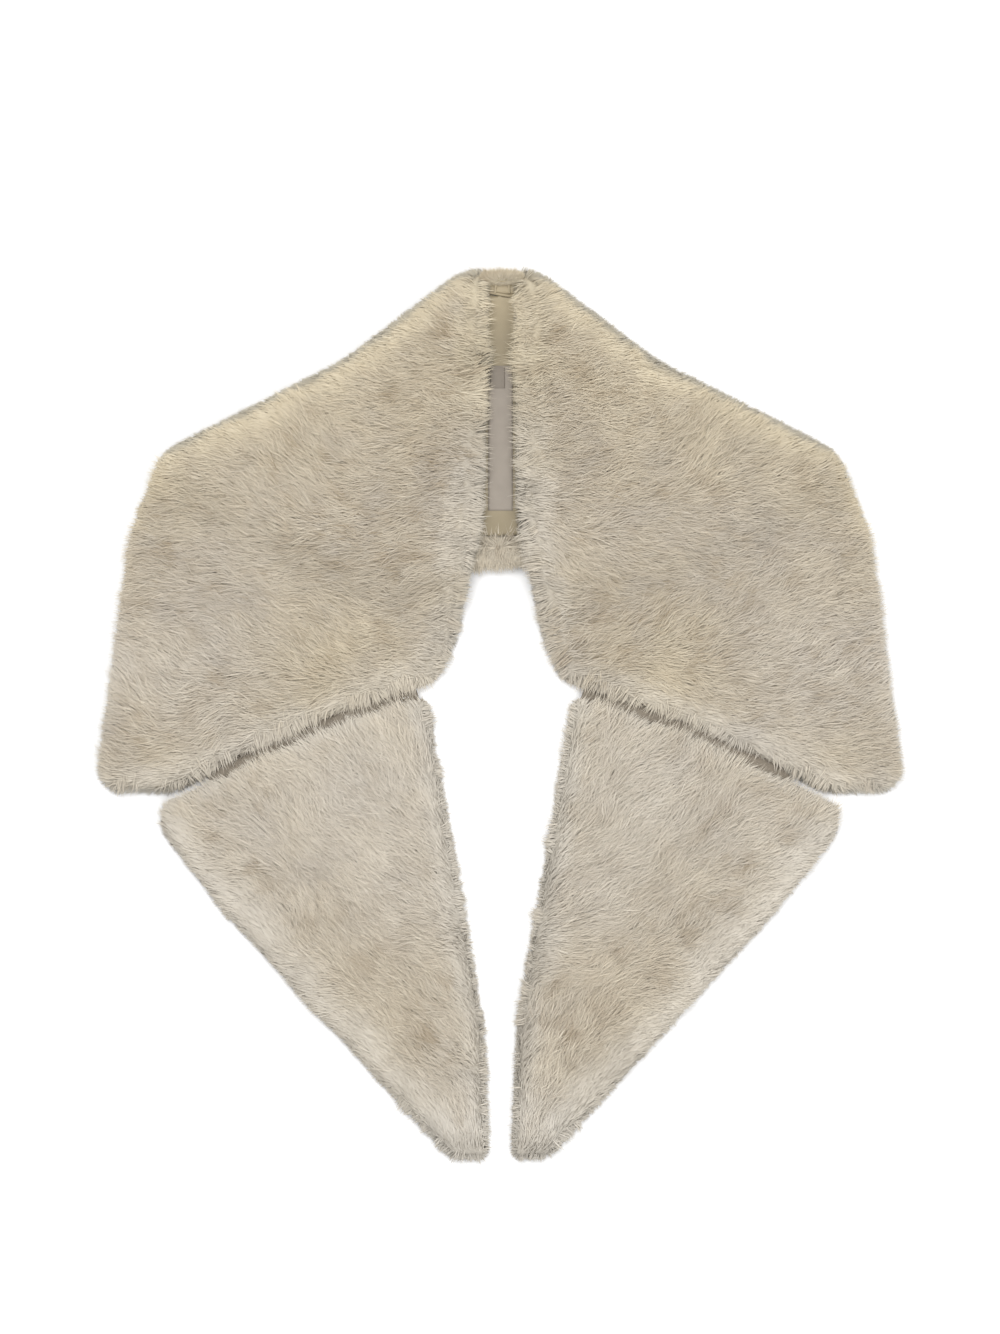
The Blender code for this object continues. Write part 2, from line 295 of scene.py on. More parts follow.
def panelShape(corners, lower, upper, inset, step, puff, seed):
    # A closed thin body inside the outline, rounded at its rim, with soft uneven tufts on top.
    rim = outlineOf(corners)
    stops = withStops(rim, 0.004)
    ahead = np.roll(stops, -1, axis=0) - np.roll(stops, 1, axis=0)
    inwards = unit(np.column_stack((-ahead[:, 1], ahead[:, 0])))
    spots = []
    for depth in (inset, inset + 0.0012, inset + 0.0035, inset + 0.0075):
        moved = stops + inwards * depth if depth > 0 else stops
        kept = moved[nearestOn(moved, rim)[0] > 0.97 * depth] if depth > 0 else moved
        spots.append(kept if depth == inset else kept[::2])
    rimCount = len(spots[0])
    line = spots[0]
    low, high = line.min(axis=0), line.max(axis=0)
    grid = np.stack(np.meshgrid(*(np.arange(a, b, step) for a, b in zip(low, high))), axis=-1)
    grid[::2, :, 0] += step / 2
    grid = grid.reshape(-1, 2)
    grid += np.random.default_rng(seed).uniform(-0.2, 0.2, grid.shape) * step
    grid = grid[insideOf(grid, line)]
    grid = grid[nearestOn(grid, line)[0] > 0.0075 + step / 2]
    flat = [Vector(spot) for spot in np.concatenate([*spots, grid])]
    joined = geometry.delaunay_2d_cdt(flat, [], [list(range(rimCount))], 1, 1e-6)
    spots = np.array([spot[:] for spot in joined[0]])
    faces = np.array([face for face in joined[2] if len(face) == 3])
    x, y = spots.T
    depth = nearestOn(spots, line)[0]
    bottom, top = lower(x, y), upper(x, y)
    tufts = 0.6 * softNoise(x, y, 0.021, seed) + 0.4 * softNoise(x, y, 0.010, seed + 1)
    top = top + puff * tufts * smooth(depth / 0.012)
    widest = bottom + 0.35 * (top - bottom)
    over = widest + (top - widest) * quarterRound(depth / (0.8 * (top - bottom)))
    under = widest - (widest - bottom) * quarterRound(depth / 0.005)
    count = len(spots)
    points = np.concatenate(
        [np.column_stack((spots, over)), np.column_stack((spots[rimCount:], under[rimCount:]))]
    )
    below = np.where(faces < rimCount, faces, faces + count - rimCount)
    allFaces = np.concatenate([faces, below[:, ::-1]])
    isUnder = np.concatenate([np.zeros(len(faces), bool), depth[faces].mean(axis=1) > 0.009])
    return {"points": points, "faces": allFaces, "under": isUnder, "rim": rim}


def beadShape(left, right, low, high, bottom, top):  # an oval roll lying across, from left to right
    turns, stops = 18, 30
    angles = np.linspace(0.0, 2 * np.pi, turns, endpoint=False)
    across = np.linspace(left, right, stops)
    fullness = quarterRound(np.minimum(across - left, right - across) / 0.008 + 0.25)[:, None]
    ups = (low + high) / 2 + (high - low) / 2 * (np.cos(angles) - 0.3 * (1 - fullness))
    heights = (bottom + top) / 2 + (top - bottom) / 2 * np.sin(angles) * fullness
    points = np.stack([across[:, None] + 0 * ups, ups, heights], axis=2).reshape(-1, 3)
    here = (np.arange(stops - 1)[:, None] * turns + np.arange(turns)).ravel()
    beside = (np.arange(stops - 1)[:, None] * turns + np.roll(np.arange(turns), -1)).ravel()
    faces = [
        np.column_stack((here, beside, beside + turns)),
        np.column_stack((here, beside + turns, here + turns)),
    ]
    cap = np.array([(0, corner + 1, corner) for corner in range(1, turns - 1)])
    faces = np.concatenate([*faces, cap, cap[:, ::-1] + (stops - 1) * turns])
    rim = np.array([(left, low), (right, low), (right, high), (left, high)])
    middles = points[faces][:, :, 2].mean(axis=1)
    return {"points": points, "faces": faces, "under": middles < bottom + 0.3 * (top - bottom), "rim": rim}


def layTape(name, grid, bottom, thickness, material):  # a thin closed piece over a grid of spots
    x, y = (part.ravel() for part in grid)
    low = bottom(x, y)
    count = len(x)
    cell = np.arange(count).reshape(grid[0].shape)
    a, b, c, d = cell[:-1, :-1].ravel(), cell[:-1, 1:].ravel(), cell[1:, 1:].ravel(), cell[1:, :-1].ravel()
    top = np.concatenate([np.column_stack((a, b, c)), np.column_stack((a, c, d))])
    edge = np.concatenate([cell[0, :-1], cell[:-1, -1], cell[-1, :0:-1], cell[:0:-1, 0]])
    after = np.roll(edge, -1)
    sides = np.concatenate(
        [np.column_stack((edge + count, after + count, after)), np.column_stack((edge + count, after, edge))]
    )
    points = np.concatenate([np.column_stack((x, y, low + thickness)), np.column_stack((x, y, low))])
    return addMesh(name, points, np.concatenate([top, top[:, ::-1] + count, sides]), [material])


def seamStrip(name, path, half, bottom, top, material):  # a narrow band of cloth along a path
    path = np.asarray(path, float)
    ahead = np.gradient(path, axis=0)
    across = unit(np.column_stack((-ahead[:, 1], ahead[:, 0])))
    rows = []
    for offset, height in ((-half, bottom), (half, bottom), (half, top), (0.0, top + 0.0004), (-half, top)):
        rows.append(np.column_stack((path + across * offset, np.full(len(path), height))))
    points = np.stack(rows, axis=1).reshape(-1, 3)
    ring = len(rows)
    faces = []
    for index in range(len(path) - 1):
        for corner in range(ring):
            here, beside = index * ring + corner, index * ring + (corner + 1) % ring
            faces += [(here, beside, beside + ring), (here, beside + ring, here + ring)]
    last = (len(path) - 1) * ring
    faces += [(0, corner + 1, corner) for corner in range(1, ring - 1)]
    faces += [(last, last + corner, last + corner + 1) for corner in range(1, ring - 1)]
    return addMesh(name, points, np.array(faces), [material])


def lockOf(x, y, size, seed):  # the nearest lock's middle, and four random numbers of its own
    cells = np.random.default_rng(seed).random((96, 96, 6))
    column, row = np.floor(x / size + 960).astype(int), np.floor(y / size + 960).astype(int)
    best = np.full(len(x), np.inf)
    middle = np.zeros((len(x), 2))
    own = np.zeros((len(x), 4))
    for right in (-1, 0, 1):
        for above in (-1, 0, 1):
            cell = cells[(column + right) % 96, (row + above) % 96]
            at = (np.column_stack((column + right, row + above)) + cell[:, :2] - 960) * size
            away = (at[:, 0] - x) ** 2 + (at[:, 1] - y) ** 2
            nearer = away < best
            best[nearer] = away[nearer]
            middle[nearer] = at[nearer]
            own[nearer] = cell[nearer, 2:]
    return middle, own


def combed(rows, side, x, y):  # plan direction of the nap, from listed combing strokes
    flow = np.zeros((len(x), 2))
    for across, up, sweep in rows:
        weight = 1.0 / (((np.abs(x) - across) ** 2 + (y - up) ** 2) + 0.018**2) ** 1.6
        flow[:, 0] += weight * math.cos(math.radians(sweep))
        flow[:, 1] += weight * math.sin(math.radians(sweep))
    flow[:, 0] *= side
    return unit(flow)


def turned(flow, angle):
    c, s = np.cos(angle), np.sin(angle)
    return np.column_stack((flow[:, 0] * c - flow[:, 1] * s, flow[:, 0] * s + flow[:, 1] * c))


def bandOf(rows, side, outwards):  # width of the calm rim, by the way that the rim faces
    facing = np.arctan2(outwards[:, 1], side * outwards[:, 0])
    total, width = np.zeros(len(outwards)), np.zeros(len(outwards))
    for degrees, band in rows:
        weight = np.maximum(np.cos(facing - math.radians(degrees)), 0.0) ** 4 + 1e-6
        total += weight
        width += weight * band
    return width / total


def growFur(name, body, side, fur, nap, tint, density, material, seed):
    # Fine strands rooted all over the body, laid along the nap and drawn into locks.
    rng = np.random.default_rng(seed)
    points, faces = body["points"], body["faces"]
    normals = pointNormals(points, faces)
    a, b, c = (points[faces[:, index]] for index in range(3))
    middles = (a + b + c) / 3
    weight = np.linalg.norm(np.cross(b - a, c - a), axis=1) * density(middles, body["under"])
    reached = np.cumsum(weight) / weight.sum()
    count = fur["strands"]
    pick = np.searchsorted(reached, (np.arange(count) + rng.random(count)) / count)
    pick = np.minimum(pick, len(faces) - 1)
    u, v = rng.random((2, count))
    flip = u + v > 1
    u[flip], v[flip] = 1 - u[flip], 1 - v[flip]
    shares = (1 - u - v)[:, None], u[:, None], v[:, None]
    roots = sum(share * points[faces[pick, index]] for index, share in enumerate(shares))
    up = unit(sum(share * normals[faces[pick, index]] for index, share in enumerate(shares)))
    x, y = roots[:, 0], roots[:, 1]
    away, outwards = nearestOn(roots[:, :2], body["rim"])
    uneven = away + 0.005 * softNoise(x, y, 0.020, seed + 5)
    band = bandOf(fur["bands"], side, outwards)
    calm = 1 - smooth(uneven / band - 0.35)
    steep = 1 - np.clip(up[:, 2], 0, 1)
    middle, lock = lockOf(x, y, fur["lock"], seed + 7)
    flow = nap(x, y)
    swirl = 20 * softNoise(x, y, 0.040, seed + 2) + 20 * softNoise(x, y, 0.014, seed + 3)
    onTop = 1 - 0.8 * smooth(steep * 2)
    swirl = fur["swirl"] * swirl + 22 * onTop * (lock[:, 0] - 0.5) + 15 * rng.normal(size=count)
    flow = turned(flow, np.radians(swirl * (1 - 0.4 * calm)))
    against = smooth(-(flow * outwards).sum(axis=1) * 3)
    reach = fur["rimReach"] + (fur["partReach"] - fur["rimReach"]) * against
    waver = 0.35 * softNoise(x, y, 0.026, seed + 12) + 0.20 * softNoise(x, y, 0.009, seed + 13)
    wander = away + reach * waver
    atRim = 1 - smooth((wander - 0.35 * (1 - against) * reach) / ((1.0 + 0.8 * against) * reach))
    parting = against * np.exp(-(((wander - 0.85 * reach) / 0.004) ** 2))
    atGorge = nearGorge(x, y)
    # Beside a rim the pile turns outwards, and where its nap runs the other way it parts.
    spread = (1 - atGorge) * (30 * softNoise(x, y, 0.011, seed + 14) + 0.5 * swirl)
    fanned = turned(outwards, np.radians(spread))
    turnsOut = 0.4 * lock[:, 2] + 0.6 * rng.random(count) < atRim
    eased = unit(flow * (1 - atRim[:, None]) + fanned * atRim[:, None])
    flow = np.where((against > 0.5)[:, None], np.where(turnsOut[:, None], fanned, flow), eased)
    laid = np.column_stack((flow, -0.4 * steep))
    laid = unit(laid - up * (laid * up).sum(axis=1, keepdims=True))
    lockLength = 0.5 + onTop * (lock[:, 1] - 0.5)
    length = fur["length"] * (0.66 + 0.6 * rng.random(count)) * (0.82 + 0.36 * lockLength)
    length *= (1 - 0.15 * calm) * (1 - (1 - fur["rimLength"]) * smooth(steep * 2.5))
    length *= (1 - 0.2 * atGorge) * (1 + fur["reachOver"](x, y))
    lift = fur["lift"] * (0.4 + 1.2 * rng.random(count)) * (1 - 0.45 * calm)
    lift = np.radians(lift + fur["steepLift"] * smooth(steep * 1.6) * (1 - 0.6 * atGorge))
    droop = lift - np.radians(fur["droop"])
    bend = unit(np.cross(up, laid)) * (rng.normal(size=count) * 0.07)[:, None]
    near, far = (0.42 * length)[:, None], (0.58 * length)[:, None]
    mid = roots + near * (laid * np.cos(lift)[:, None] + up * np.sin(lift)[:, None] + bend)
    tip = mid + far * (laid * np.cos(droop)[:, None] + up * np.sin(droop)[:, None] - bend * 1.4)
    pull = (fur["pull"] * (0.3 + 1.0 * lock[:, 2]) * (1 - 0.7 * calm) * (1 - atGorge) * onTop)[:, None]
    drawn = np.column_stack((middle - roots[:, :2], np.zeros(count)))
    mid = mid + drawn * pull * 0.4
    tip = tip + drawn * pull
    roots = roots - up * 0.0006
    wide = unit(np.cross(laid, up))
    roll = np.radians(fur["roll"]) * rng.normal(size=count)
    wide = wide * np.cos(roll)[:, None] + up * np.sin(roll)[:, None]
    half = (fur["width"] * (0.65 + 0.7 * rng.random(count)) * (1 + 0.5 * calm) / 2)[:, None]
    strands = np.stack([roots, mid - wide * half, mid + wide * half, tip], axis=1)
    heights = np.minimum(strands[:, :, 2], lay["pileTop"] + 0.0015 * rng.random((count, 1)))
    strands[:, :, 2] = np.maximum(heights, lay["pileFoot"] + 0.0006 * rng.random((count, 1)))
    start = np.arange(count)[:, None, None] * 4
    allFaces = (start + np.array([[0, 2, 1], [1, 2, 3]])[None]).reshape(-1, 3)
    obj = addMesh(name, strands.reshape(-1, 3), allFaces, [material])
    # Each strand has its own small cell of the map, root at the bottom.
    order = np.arange(count)
    corner = np.column_stack((order % furMap["across"], order // furMap["across"]))
    spots = corner[:, None, :] + np.array([[0.5, 0.06], [0.08, 0.45], [0.92, 0.45], [0.5, 0.94]])
    spots = spots / (furMap["across"], furMap["up"])
    layer = obj.data.uv_layers.new(name="OFBake")
    layer.uv.foreach_set("vector", spots.reshape(-1, 2)[allFaces.ravel()].astype(np.float32).ravel())
    fine = 1 - fur["calming"] * calm
    tone = 0.9 * rng.normal(size=count) + 0.5 * (lock[:, 3] - 0.5)
    tone = (tone - 2.4 * (rng.random(count) < 0.07) + 1.6 * (rng.random(count) < 0.06)) * fine
    along = 0.7 + (np.array([0.0, 0.55, 0.55, 1.0]) - 0.7) * fine[:, None]
    looks = tint(x, y, calm, seed)
    # Where the pile parts, its roots show browner, and the darkening there is painted shade down in the
    # parting.
    looks["tanAndShade"] = looks["tanAndShade"] + 0.40 * parting * smooth(2 * softNoise(x, y, 0.016, seed + 9))
    looks["shade"] = looks["shade"] - 0.07 * parting
    # Painted shade: rims facing the gorge seam are browned for the shadowed pile that rolls under into the
    # seam.
    looks["tanAndShade"] = looks["tanAndShade"] + 0.55 * atGorge * smooth(steep * 1.4)
    # Painted shade: steep rim strands are greyed and dimmed, except along the gorge.
    looks["paintedShadeGrey"] = fur["paintedShadeGrey"] * smooth(steep * 1.4) * (1 - atGorge)
    looks["shade"] = looks["shade"] - 0.04 * smooth(steep * 1.4) * (1 - atGorge)
    # Painted light: steep strands low down near the floor are brightened to offset the shade there.
    looks["shade"] = looks["shade"] + 0.30 * smooth(steep * 2) * smooth((0.009 - roots[:, 2]) / 0.008)
    keepNumbers(obj, "tone", np.repeat(tone, 4))
    keepNumbers(obj, "along", along.ravel())
    for key, values in looks.items():
        keepNumbers(obj, key, np.repeat(values, 4))
    keepNumbers(obj, "rootSpot", np.repeat(roots, 4, axis=0), "FLOAT_VECTOR")
    facing = unit(np.cross(wide, unit(tip - roots)))
    facing *= np.sign((facing * up).sum(axis=1, keepdims=True) + 1e-9)
    relief = (fur["relief"] * fine)[:, None]
    soft = unit(up * (1 - relief) + facing * relief)
    obj.data.normals_split_custom_set_from_vertices(np.repeat(soft, 4, axis=0).astype(np.float32))
    return obj


furMap = {"across": 512, "up": 196}  # cells for the strands, more than any panel has


def addBody(name, body, side, fur, tint, materials, node):
    obj = addMesh(name, body["points"], body["faces"], materials, body["under"].astype(int))
    x, y = body["points"][:, 0], body["points"][:, 1]
    away, outwards = nearestOn(body["points"][:, :2], body["rim"])
    calm = 1 - smooth(away / bandOf(fur["bands"], side, outwards) - 0.35)
    for key, values in tint(x, y, calm, 0).items():
        keepNumbers(obj, key, values)
    # Painted shade: the body greys within 10 mm of its rim, except at the gorge.
    keepNumbers(obj, "paintedShadeGrey", fur["paintedShadeGrey"] * (1 - smooth(away / 0.010)) * (1 - nearGorge(x, y)))
    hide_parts(node)
    return obj


class Wire:
    def __init__(self, shader, socket):
        self.shader = shader
        self.socket = socket

    def maths(self, operation, first, second):
        return self.shader.node("ShaderNodeMath", {"operation": operation}, {0: first, 1: second})

    def __add__(self, other):
        return self.maths("ADD", self, other)

    def __radd__(self, other):
        return self.maths("ADD", other, self)

    def __sub__(self, other):
        return self.maths("SUBTRACT", self, other)

    def __rsub__(self, other):
        return self.maths("SUBTRACT", other, self)

    def __mul__(self, other):
        return self.maths("MULTIPLY", self, other)

    def __rmul__(self, other):
        return self.maths("MULTIPLY", other, self)


class Finish:
    def __init__(self, name):
        self.material = bpy.data.materials.new(name)
        self.material.use_nodes = True
        self.tree = self.material.node_tree
        self.tree.nodes.clear()

    def node(self, kind, settings=None, inputs=None, output=0):
        made = self.tree.nodes.new(kind)
        for key, value in (settings or {}).items():
            setattr(made, key, value)
        for key, value in (inputs or {}).items():
            if isinstance(value, Wire):
                self.tree.links.new(value.socket, made.inputs[key])
            else:
                made.inputs[key].default_value = value
        return Wire(self, made.outputs[output])

    def kept(self, name, output="Fac"):
        return self.node("ShaderNodeAttribute", {"attribute_name": name}, output=output)

    def noise(self, where, scale, detail=2.0, roughness=0.5):
        inputs = {"Vector": where, "Scale": scale, "Detail": detail, "Roughness": roughness}
        return self.node("ShaderNodeTexNoise", {}, inputs, "Fac")

    def mixed(self, factor, first, second):
        settings = {"data_type": "RGBA", "clamp_factor": True}
        return self.node("ShaderNodeMix", settings, {0: factor, 6: first, 7: second}, 2)

    def dimmed(self, colour, value):
        return self.node("ShaderNodeVectorMath", {"operation": "SCALE"}, {0: colour, 3: value})

    def bump(self, height, strength, distance):
        inputs = {"Height": height, "Strength": strength, "Distance": distance}
        return self.node("ShaderNodeBump", {}, inputs, "Normal")

    def surface(self, inputs):
        shaded = self.node("ShaderNodeBsdfPrincipled", {}, inputs, "BSDF")
        out = self.tree.nodes.new("ShaderNodeOutputMaterial")
        self.tree.links.new(shaded.socket, out.inputs["Surface"])
        return self.material


furColours = {
    "grey": (0.535, 0.482, 0.405, 1.0),
    "cream": (0.630, 0.548, 0.395, 1.0),
    "tan": (0.420, 0.330, 0.215, 1.0),
    "pale": (0.645, 0.600, 0.525, 1.0),
    # painted shade: the grey that steep rims turn to, for the shade where the pile curls down away from the
    # light
    "paintedShadeGrey": (0.370, 0.365, 0.325, 1.0),
}


def furShade(finish, spot, tone, light):
    patches = finish.noise(spot, 26.0, 3.0, 0.6)
    streaks = finish.noise(spot, 330.0, 2.0)
    warmth = finish.kept("warm") + (patches - 0.5) * 1.3
    colour = finish.mixed(warmth, furColours["grey"], furColours["cream"])
    tanAndShade = finish.kept("tanAndShade") + (streaks - 0.5) * 1.4 - tone * 0.12
    colour = finish.mixed(tanAndShade, colour, furColours["tan"])
    colour = finish.mixed(finish.kept("pale") + (patches - 0.5) * 0.5, colour, furColours["pale"])
    # Painted shade: steep rims are mixed toward the grey.
    colour = finish.mixed(finish.kept("paintedShadeGrey"), colour, furColours["paintedShadeGrey"])
    light = light + (patches - 0.5) * 0.14
    return finish.dimmed(colour, light * finish.kept("shade"))


def furFinish(name, rootShade, tipShade):
    finish = Finish(name)
    tone, along = finish.kept("tone"), finish.kept("along")
    light = rootShade + (tipShade - rootShade) * along + tone * 0.052
    return finish.surface(
        {
            "Base Color": furShade(finish, finish.kept("rootSpot", "Vector"), tone, light),
            "Roughness": 0.62,
            "Specular IOR Level": 0.25,
            "Sheen Weight": 0.12,
            "Sheen Roughness": 0.45,
        }
    )


def underfurFinish(name):
    finish = Finish(name)
    spot = finish.node("ShaderNodeTexCoord", output="Object")
    fine = finish.noise(spot, 520.0, 4.0, 0.6)
    return finish.surface(
        {
            "Base Color": furShade(finish, spot, fine - 1.0, 0.62 + fine * 0.35),
            "Roughness": 0.9,
            "Specular IOR Level": 0.1,
            "Normal": finish.bump(fine, 0.5, 0.0015),
        }
    )


def satinFinish(name, shadeUp):  # painted shade: dimmer below shadeUp, where the fur closes over it
    finish = Finish(name)
    spot = finish.node("ShaderNodeTexCoord", output="Object")
    threads = finish.node(
        "ShaderNodeTexWave",
        {"wave_type": "BANDS", "bands_direction": "DIAGONAL"},
        {"Vector": spot, "Scale": 900.0, "Distortion": 1.5, "Detail": 1.0},
        "Fac",
    )
    soft = finish.noise(spot, 60.0, 3.0)
    colour = finish.mixed(soft, (0.325, 0.268, 0.168, 1.0), (0.400, 0.332, 0.218, 1.0))
    up = finish.node("ShaderNodeSeparateXYZ", {}, {"Vector": spot}, "Y")
    toSeam = finish.node("ShaderNodeClamp", {}, {"Value": (up - shadeUp) * 30.0})
    colour = finish.dimmed(colour, (0.92 + threads * 0.12) * (0.80 + toSeam * 0.28))
    return finish.surface(
        {
            "Base Color": colour,
            "Roughness": 0.36 + soft * 0.1,
            "Sheen Weight": 0.3,
            "Sheen Roughness": 0.3,
            "Normal": finish.bump(threads + soft * 2.0, 0.25, 0.0006),
        }
    )


# Painted shadow: dark brown fuzz with small white flecks, for the shade down in the gorge groove.
def grooveShadowFinish(name):
    finish = Finish(name)
    spot = finish.node("ShaderNodeTexCoord", output="Object")
    fuzz = finish.noise(spot, 700.0, 3.0, 0.6)
    flecks = finish.noise(spot, 620.0, 1.0, 0.4) * finish.noise(spot, 30.0, 1.0)
    colour = finish.mixed(fuzz, (0.150, 0.125, 0.095, 1.0), (0.300, 0.260, 0.205, 1.0))
    colour = finish.mixed((flecks - 0.41) * 30.0, colour, (0.85, 0.84, 0.80, 1.0))
    return finish.surface({"Base Color": colour, "Roughness": 0.9, "Normal": finish.bump(fuzz, 0.5, 0.001)})


def tapeFinish(name, colour):
    finish = Finish(name)
    spot = finish.node("ShaderNodeTexCoord", output="Object")
    weave = finish.node(
        "ShaderNodeTexWave",
        {"wave_type": "BANDS", "bands_direction": "Y"},
        {"Vector": spot, "Scale": 700.0, "Distortion": 0.6},
        "Fac",
    )
    soft = finish.noise(spot, 90.0, 3.0)
    colour = finish.mixed(soft, colour, (*(0.8 * part for part in colour[:3]), 1.0))
    shade = finish.dimmed(colour, 0.92 + weave * 0.08)
    return finish.surface(
        {
            "Base Color": shade,
            "Roughness": 0.55,
            "Sheen Weight": 0.1,
            "Normal": finish.bump(weave, 0.3, 0.0003),
        }
    )


def floorFinish():
    finish = Finish("paleFloor")
    spot = finish.node("ShaderNodeTexCoord", output="Object")
    soft = finish.noise(spot, 1.2, 2.0)
    colour = finish.mixed(soft, (0.955, 0.955, 0.955, 1.0), (0.965, 0.965, 0.965, 1.0))
    return finish.surface({"Base Color": colour, "Roughness": 0.9, "Specular IOR Level": 0.1})


wingPile = furFinish("wingPile", 0.78, 1.10)
lapelPile = furFinish("lapelPile", 0.78, 1.10)
backPile = furFinish("backPile", 0.78, 1.08)
underfur = underfurFinish("underfur")
satin = satinFinish("liningSatin", 0.300)
loopSatin = satinFinish("loopSatin", -0.050)
# Painted shade: the care label's colour is set dark for the shade it lies in between the fur of the slit.
shadedLabelTape = tapeFinish("shadedLabelTape", (0.335, 0.290, 0.240, 1.0))
tabTape = tapeFinish("tabTape", (0.235, 0.200, 0.160, 1.0))
grooveShadow = grooveShadowFinish("grooveShadow")
print("finishes made")

# Camera, light and floor.
studio = {
    "centreUp": 0.0388,
    "frameHeight": 1.0672,
    "lens": 135.0,
    "above": 0.015,
    "keySize": 1.6,
    "keyPower": 39.3,
    "keyPlace": (-0.55, 1.15, 2.35),
    "fillSize": 2.4,
    "fillPower": 25.0,
    "fillPlace": (1.4, -0.6, 2.0),
    "worldStrength": 0.70,
    "floorReach": 6.0,
}
cameraData = bpy.data.cameras.new("camera")
cameraData.lens = studio["lens"]
cameraData.sensor_width = 36.0
camera = bpy.data.objects.new("camera", cameraData)
distance = studio["frameHeight"] * studio["lens"] / cameraData.sensor_width
camera.location = (0.0, studio["centreUp"], studio["above"] + distance)
cameraData.clip_end = 20.0
bpy.context.collection.objects.link(camera)
bpy.context.scene.camera = camera


def addLight(name, size, power, place):
    data = bpy.data.lights.new(name, "AREA")
    data.shape = "DISK"
    data.size = size
    data.energy = power
    light = bpy.data.objects.new(name, data)
    light.location = place
    light.rotation_euler = (Vector((0, 0, 0)) - Vector(place)).to_track_quat("-Z", "Y").to_euler()
    bpy.context.collection.objects.link(light)


for word in ("key", "fill"):
    addLight(word + "Light", studio[word + "Size"], studio[word + "Power"], studio[word + "Place"])
world = bpy.data.worlds.new("studio")
world.use_nodes = True
world.node_tree.nodes["Background"].inputs["Color"].default_value = (1.0, 1.0, 1.0, 1.0)
world.node_tree.nodes["Background"].inputs["Strength"].default_value = studio["worldStrength"]
bpy.context.scene.world = world
bpy.context.scene.view_settings.view_transform = "Standard"
reach = studio["floorReach"]
floorCorners = [(-reach, -reach, 0), (reach, -reach, 0), (reach, reach, 0), (-reach, reach, 0)]
floorMesh = bpy.data.meshes.new("floor")
floorMesh.from_pydata(floorCorners, [], [(0, 1, 2, 3)])
floorMesh.materials.append(floorFinish())
floor = bpy.data.objects.new("floor", floorMesh)
bpy.context.collection.objects.link(floor)
print("studio set")


def overSlit(x, y):  # the pile beside the slit reaches over it, most where the two halves all but meet
    beside = 1 - smooth((np.abs(x) - 0.016) / 0.012)
    meeting = np.exp(-(((y - 0.286) / 0.010) ** 2)) + 1.1 * smooth((y - 0.343) / 0.006) * (y < 0.3505)
    further = 0.22 * smooth((0.300 - y) / 0.01) + 0.6 * meeting
    return beside * further * (y > 0.10) + 0.15 * (y > 0.3505) * beside


def evenReach(x, y):  # the pile keeps its own length everywhere
    return 0.0 * x


# Front wings. Combing strokes: across, up, sweep in degrees above the outward direction.
# Bands: the way a rim faces, in degrees above the outward direction, and its calm width.
wing = {
    "inset": 0.0045,
    "pile": 0.0045,
    "step": 0.0055,
    "puff": 0.0014,
    "fur": {
        "strands": 98000,
        "length": 0.0165,
        "width": 0.00050,
        "lift": 20.0,
        "steepLift": 38.0,
        "droop": 20.0,
        "lock": 0.0062,
        "pull": 0.16,
        "swirl": 1.0,
        "roll": 22.0,
        "relief": 0.26,
        "rimReach": 0.007,
        "partReach": 0.016,
        "reachOver": overSlit,
        "rimLength": 0.50,
        # how strongly steep rims take the painted shade grey
        "paintedShadeGrey": 0.40,
        "calming": 0.90,
        "bands": [(0, 0.012), (60, 0.030), (120, 0.022), (180, 0.020), (-110, 0.022), (-60, 0.022)],
    },
    "strokes": [
        (0.030, 0.330, 15),
        (0.128, 0.268, 0),
        (0.140, 0.236, 40),
        (0.240, 0.204, 30),
        (0.060, 0.225, 5),
        (0.160, 0.172, 28),
        (0.288, 0.140, 10),
        (0.150, 0.135, 5),
        (0.055, 0.120, -12),
        (0.272, 0.076, 18),
        (0.160, 0.070, 38),
        (0.080, 0.060, 18),
        (0.300, 0.010, 30),
        (0.150, 0.010, -12),
        (0.230, -0.030, -20),
    ],
}
lapel = {
    "bottom": 0.0004,
    "inset": 0.0045,
    "pile": 0.0045,
    "step": 0.0055,
    "puff": 0.0014,
    "fur": {
        **wing["fur"],
        "strands": 66000,
        "partReach": 0.008,
        "paintedShadeGrey": 0.18,
        "steepLift": 24.0,
        "reachOver": evenReach,
        "bands": [(-40, 0.034), (90, 0.014), (180, 0.015), (-90, 0.020), (20, 0.018)],
    },
    "strokes": [
        (0.240, -0.090, 25),
        (0.150, -0.075, 50),
        (0.064, -0.070, 55),
        (0.220, -0.140, 15),
        (0.120, -0.130, 35),
        (0.060, -0.150, 40),
        (0.130, -0.185, 50),
        (0.040, -0.180, 5),
        (0.090, -0.215, 40),
        (0.130, -0.215, 10),
        (0.048, -0.250, 45),
        (0.030, -0.290, 50),
        (0.020, -0.330, 70),
    ],
}


def furOnTop(middles, under):
    return np.where(under, 0.0, 0.5 + 0.5 * smooth((middles[:, 2] - 0.002) / 0.004))


def tufts(x, y, seed):  # scattered spots where the pile opens on its roots; browner there, and darker as painted shade in the openings
    coarse, fine = softNoise(x, y, 0.026, seed + 21), softNoise(x, y, 0.0075, seed + 22)
    return smooth((0.45 * coarse + 0.7 * fine - 0.14) / 0.45)


def gathered(rows, x, y):  # soft patches at listed spots, each across, up, reach and amount
    found = np.zeros(len(x))
    for across, up, reach, amount in rows:
        found += amount * np.exp(-((np.abs(x) - across) ** 2 + (y - up) ** 2) / reach**2)
    return found


